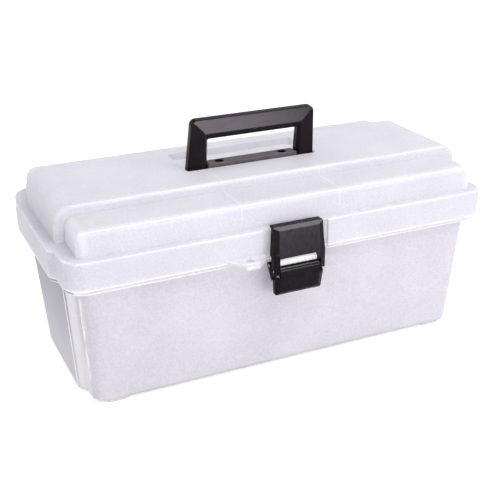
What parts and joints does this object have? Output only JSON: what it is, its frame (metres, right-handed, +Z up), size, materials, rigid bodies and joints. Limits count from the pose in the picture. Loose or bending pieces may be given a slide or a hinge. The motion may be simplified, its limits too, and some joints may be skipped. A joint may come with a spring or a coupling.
{
  "type": "art supply box",
  "caption": "Translucent plastic art supply box with a hinged stepped lid, a folding black carry handle, a black draw latch and a padlock tab.",
  "frame": {"origin": "on the table, under the centre of the box's outer size", "axes": "+X along the length, +Y from the latch at the front to the hinges at the back, +Z up"},
  "size_m": [0.33, 0.1784, 0.1762],
  "materials": {
    "frosted_plastic": "frosted translucent polypropylene",
    "black_plastic": "satin black moulded plastic",
    "black_steel": "blackened steel",
    "pin_steel": "plain steel wire"
  },
  "bodies": {
    "base": {"base_tub": "frosted_plastic", "hinge_pin_left": "pin_steel", "hinge_pin_right": "pin_steel", "latch_lever_pin": "pin_steel"},
    "lid": {"lid_shell": "frosted_plastic", "handle_strap": "black_plastic", "handle_screws": "black_steel"},
    "handle": {"handle_grip": "black_plastic"},
    "lever": {"latch_lever": "black_plastic", "latch_hook_pin": "pin_steel"},
    "hook": {"latch_hook_plate": "black_plastic"}
  },
  "joints": [
    {"name": "lid_hinge", "type": "hinge", "parent": "base", "child": "lid", "pos_m": [0, 0.0847, 0.0928], "axis": [-1, 0, 0], "range_deg": [0, 105]},
    {"name": "handle_fold", "type": "hinge", "parent": "lid", "child": "handle", "pos_m": [0, -0.0061, 0.1389], "axis": [-1, 0, 0], "range_deg": [0, 97.5]},
    {"name": "latch_lift", "type": "hinge", "parent": "base", "child": "lever", "pos_m": [0, -0.0769, 0.0857], "axis": [-1, 0, 0], "range_deg": [0, 70]},
    {"name": "hook_tilt", "type": "hinge", "parent": "lever", "child": "hook", "pos_m": [0, -0.0838, 0.0837], "axis": [1, 0, 0], "range_deg": [0, 105]}
  ],
  "couplings": [
    {"joint": "hook_tilt", "follows": "latch_lift", "ratio": 1.5}
  ]
}
